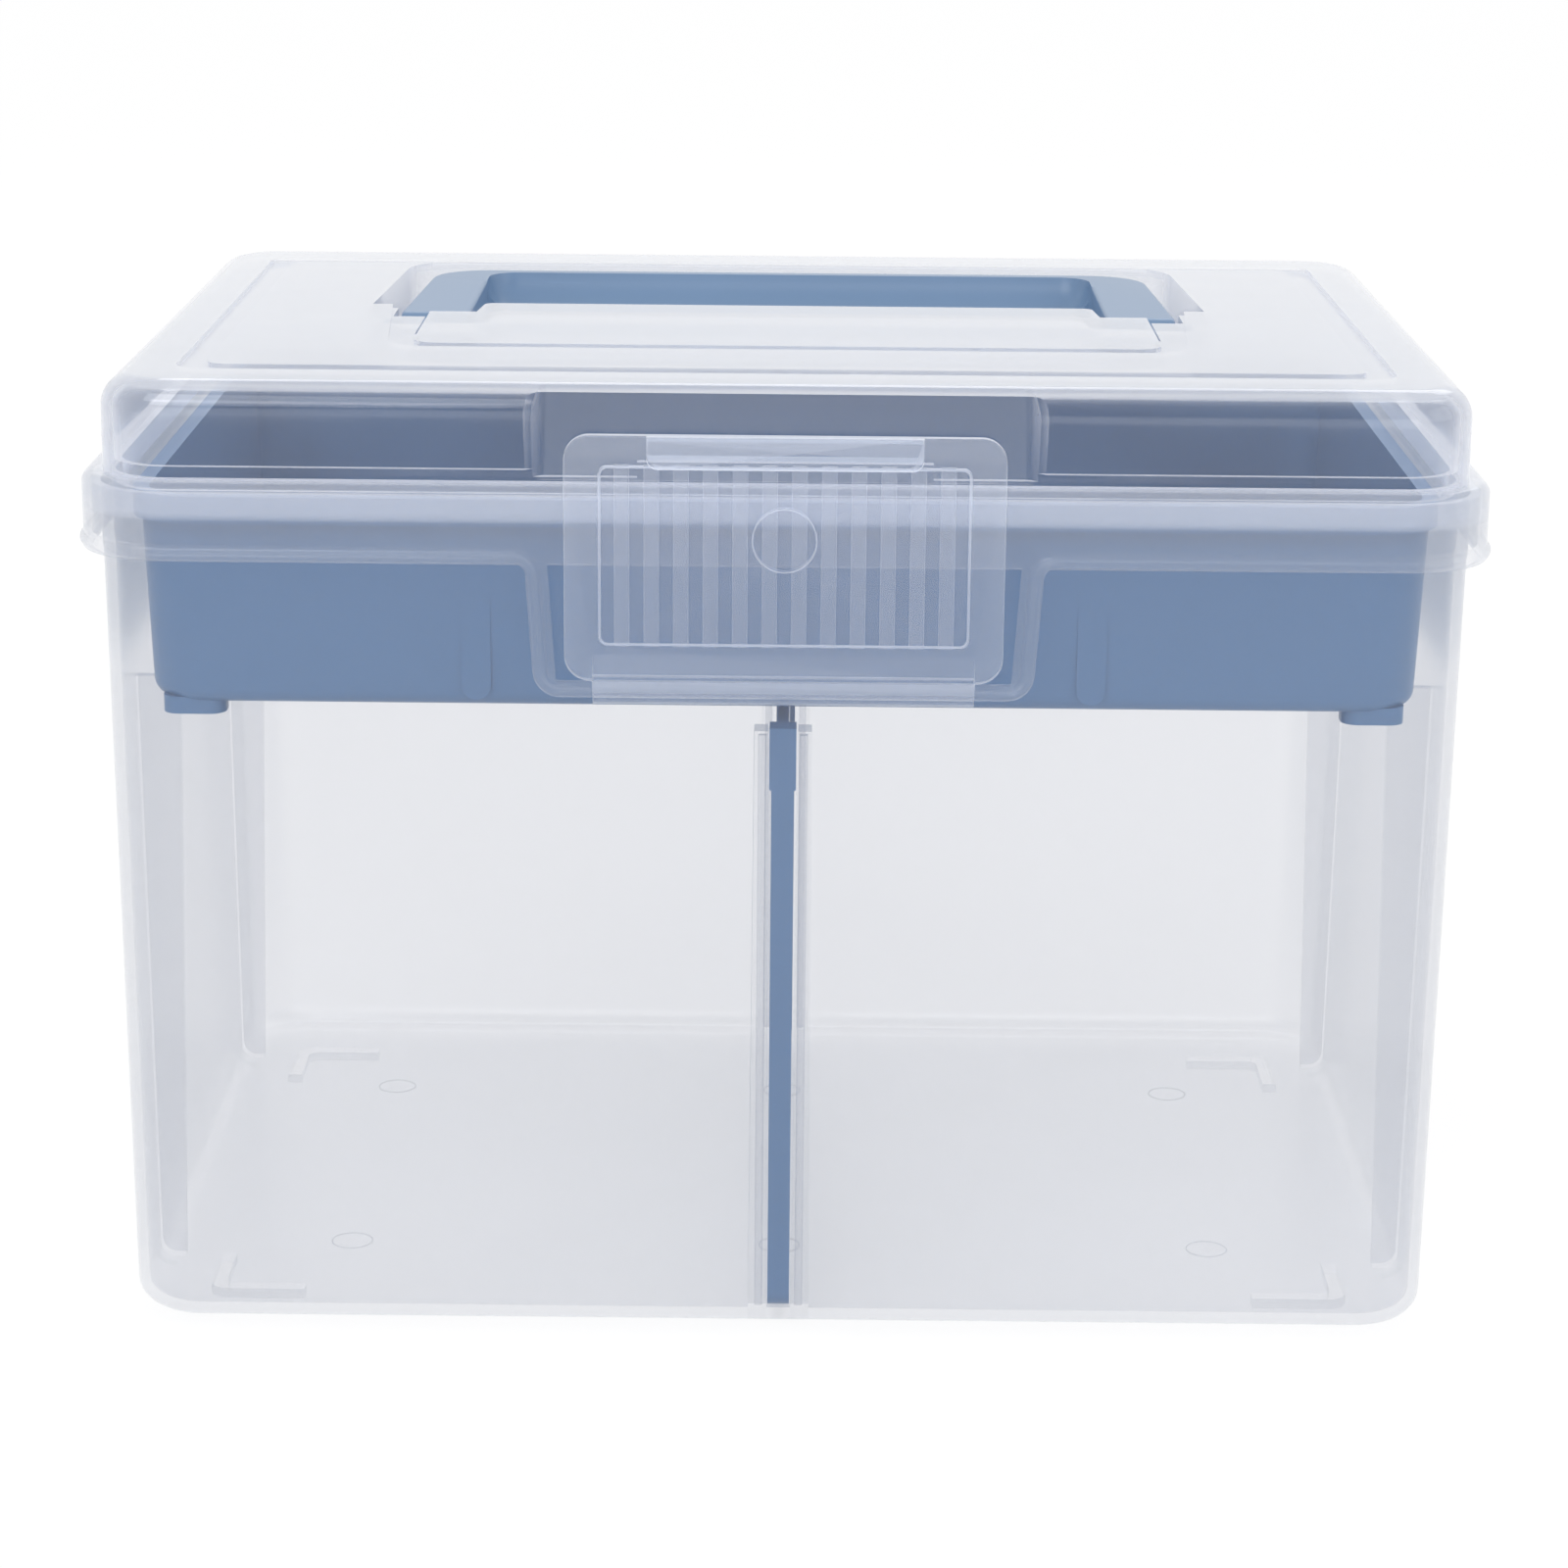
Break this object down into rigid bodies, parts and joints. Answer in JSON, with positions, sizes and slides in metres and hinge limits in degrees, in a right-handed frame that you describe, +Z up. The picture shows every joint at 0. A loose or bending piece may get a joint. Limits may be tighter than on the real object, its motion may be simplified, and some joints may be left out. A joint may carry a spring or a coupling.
{
  "type": "coin storage box",
  "caption": "Clear lidded storage box with a front latch, a handle that folds into the lid, a lift-out tray and an upright divider.",
  "frame": {"origin": "middle of the box on the plane that its feet stand on", "axes": "+X across the front towards the right, +Y from the latch to the hinge, +Z up"},
  "size_m": [0.2564, 0.1956, 0.1814],
  "materials": {
    "frosted_clear": "frosted clear moulding",
    "gloss_clear": "polished clear moulding",
    "blue": "semi-gloss moulding"
  },
  "bodies": {
    "body": {"body": "frosted_clear"},
    "lid": {"lid": "gloss_clear"},
    "handle": {"handle": "blue"},
    "latch": {"latch": "frosted_clear"},
    "tray": {"tray": "blue"},
    "divider": {"divider": "blue"}
  },
  "joints": [
    {"name": "lid_hinge", "type": "hinge", "parent": "body", "child": "lid", "pos_m": [0, 0.0955, 0.161], "axis": [-1, 0, 0], "range_deg": [0, 110]},
    {"name": "handle_hinge", "type": "hinge", "parent": "lid", "child": "handle", "pos_m": [0, 0.004, 0.1771], "axis": [1, 0, 0], "range_deg": [0, 95]},
    {"name": "latch_hinge", "type": "hinge", "parent": "body", "child": "latch", "pos_m": [0, -0.0902, 0.1272], "axis": [1, 0, 0], "range_deg": [0, 130]},
    {"name": "tray_lift", "type": "slide", "parent": "body", "child": "tray", "axis": [0, 0, 1], "range_m": [0, 0.005]},
    {"name": "divider_lift", "type": "slide", "parent": "body", "child": "divider", "axis": [0, 0, 1], "range_m": [0, 0.002]}
  ]
}
